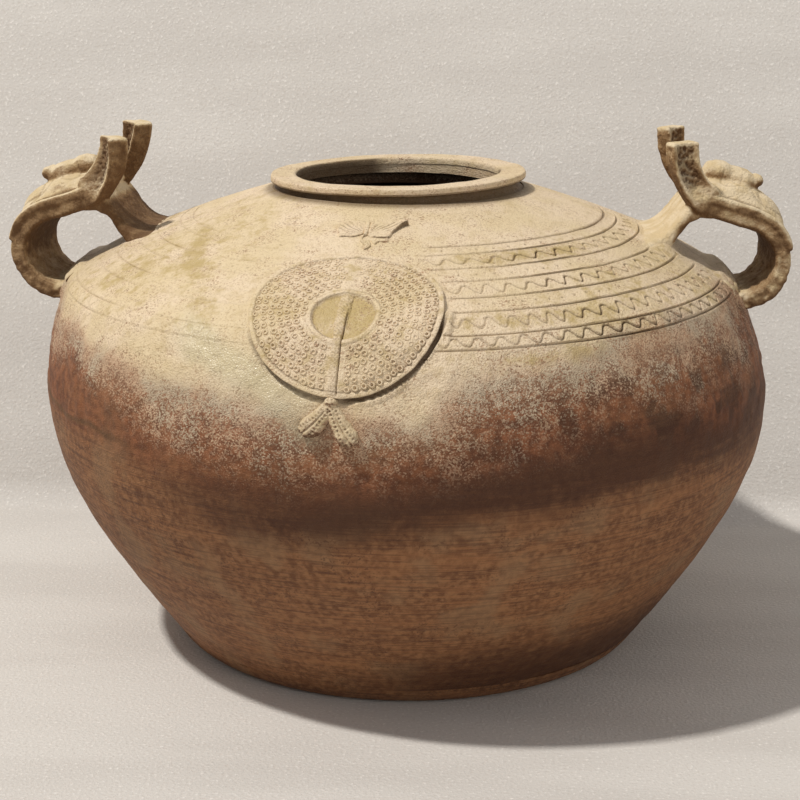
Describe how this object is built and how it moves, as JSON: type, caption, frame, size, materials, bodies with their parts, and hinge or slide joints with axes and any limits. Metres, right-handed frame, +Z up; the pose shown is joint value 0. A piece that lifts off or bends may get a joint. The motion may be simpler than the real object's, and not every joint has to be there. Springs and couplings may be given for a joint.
{
  "type": "glazed jar",
  "caption": "Wide-shouldered stoneware storage jar with a low flat rim, beast-mask loop handles, a stamped disc with a tasselled cord, and ash glaze over its upper half.",
  "frame": {"origin": "centre of the flat base, on the surface the jar stands on", "axes": "+Z up along the jar, the handles lie along X, and the stamped disc faces -Y"},
  "size_m": [0.4074, 0.3852, 0.269],
  "materials": {
    "bare_stoneware": "matt, wiped, red-brown where the glaze ends",
    "ash_glaze": "thin straw-coloured ash glaze, satin",
    "rim_glaze": "thin ash glaze, satin",
    "disc_glaze": "ash glaze pooling olive in the hollows",
    "handle_glaze": "dry ash glaze on top, brown clay below"
  },
  "bodies": {
    "root": {"base_disc": "bare_stoneware", "lower_body": "bare_stoneware", "shoulder": "ash_glaze", "bow_left_wing": "ash_glaze", "bow_right_wing": "ash_glaze", "bow_tails": "ash_glaze", "neck_ring": "rim_glaze", "rim_ring": "rim_glaze", "shoulder_disc": "disc_glaze", "disc_ring": "disc_glaze", "disc_band": "disc_glaze", "band_knot": "disc_glaze", "left_tassel": "disc_glaze", "right_tassel": "disc_glaze", "right_strap": "handle_glaze", "right_inner_leg": "handle_glaze", "right_mask_plate": "handle_glaze", "right_mask_snout": "handle_glaze", "right_front_horn": "handle_glaze", "right_rear_horn": "handle_glaze", "right_root_clay": "handle_glaze", "left_strap": "handle_glaze", "left_inner_leg": "handle_glaze", "left_mask_plate": "handle_glaze", "left_mask_snout": "handle_glaze", "left_front_horn": "handle_glaze", "left_rear_horn": "handle_glaze", "left_root_clay": "handle_glaze"}
  },
  "joints": []
}
